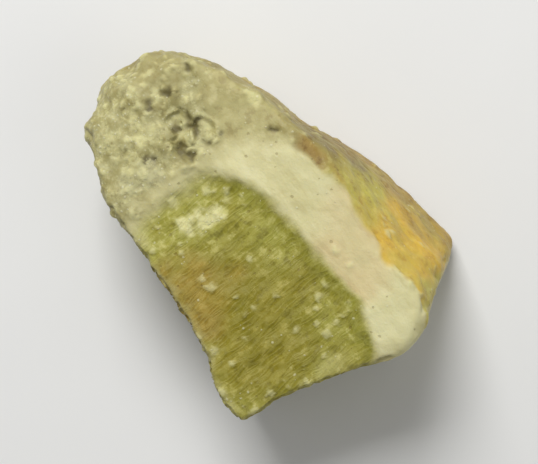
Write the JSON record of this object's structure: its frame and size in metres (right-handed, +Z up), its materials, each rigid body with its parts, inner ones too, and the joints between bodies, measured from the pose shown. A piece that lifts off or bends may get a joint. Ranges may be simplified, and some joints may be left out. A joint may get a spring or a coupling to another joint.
{
  "type": "diced porcini mushroom piece",
  "caption": "One frozen porcini dice cut from near the cap's rim, with tan skin, cream flesh and an olive tube layer, lying on a flat knife cut; a food prop.",
  "frame": {"origin": "middle of the dice's box, on the surface that it rests on", "axes": "+X along the dice from the cap's rim to the cut across its thick part, +Y out through the cap's skin, +Z up out of the upper knife cut"},
  "size_m": [0.0408, 0.028, 0.0173],
  "materials": {
    "mushroom": "matte"
  },
  "bodies": {
    "root": {"porcini_dice": "mushroom"}
  },
  "joints": []
}
